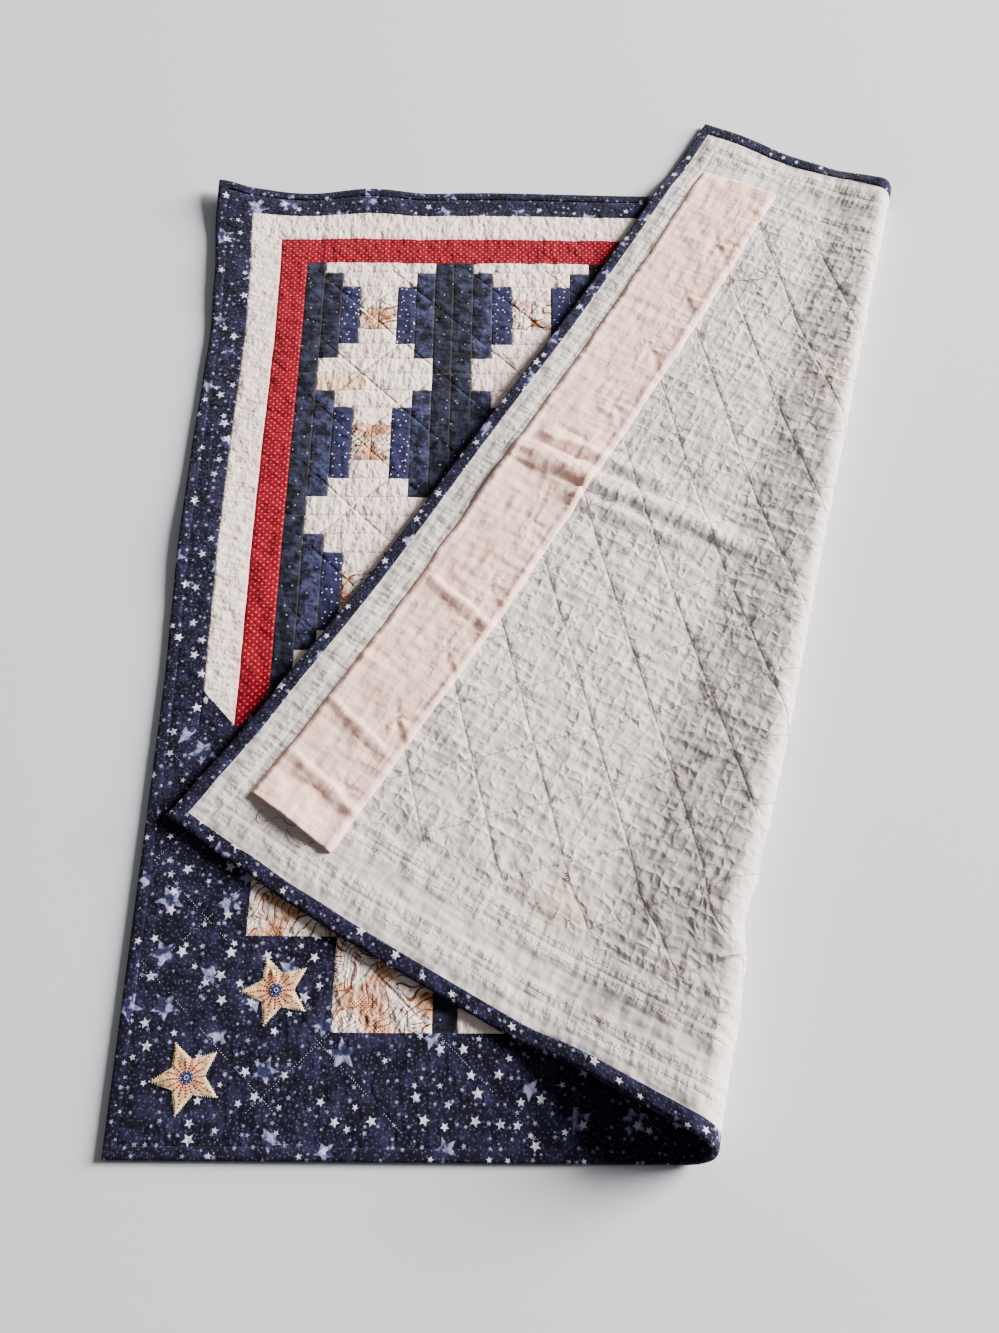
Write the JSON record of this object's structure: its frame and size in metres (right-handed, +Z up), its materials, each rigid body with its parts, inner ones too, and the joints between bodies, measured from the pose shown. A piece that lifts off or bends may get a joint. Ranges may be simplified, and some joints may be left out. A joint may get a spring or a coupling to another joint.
{
  "type": "folded patchwork quilt",
  "caption": "Square patchwork quilt lying face up, its right side folded back slantwise over the left so that the plain back, a hanging sleeve and the open end of the fold show.",
  "frame": {"origin": "middle of the folded quilt's outline, on the surface it lies on", "axes": "+Y along the long left edge towards the top, +X towards the fold, +Z up out of the surface"},
  "size_m": [0.9205, 1.3911, 0.0613],
  "materials": {
    "quilt": "quilted plain cotton back, pieced printed cotton front, matt",
    "binding": "navy printed cotton, matt",
    "sleeve": "plain peach cotton, matt",
    "applique": "tan cotton with stitched edges, matt"
  },
  "bodies": {
    "root": {"quilt": "quilt", "binding": "binding", "hanging_sleeve": "sleeve", "applique_star_1": "applique", "applique_star_2": "applique"}
  },
  "joints": []
}
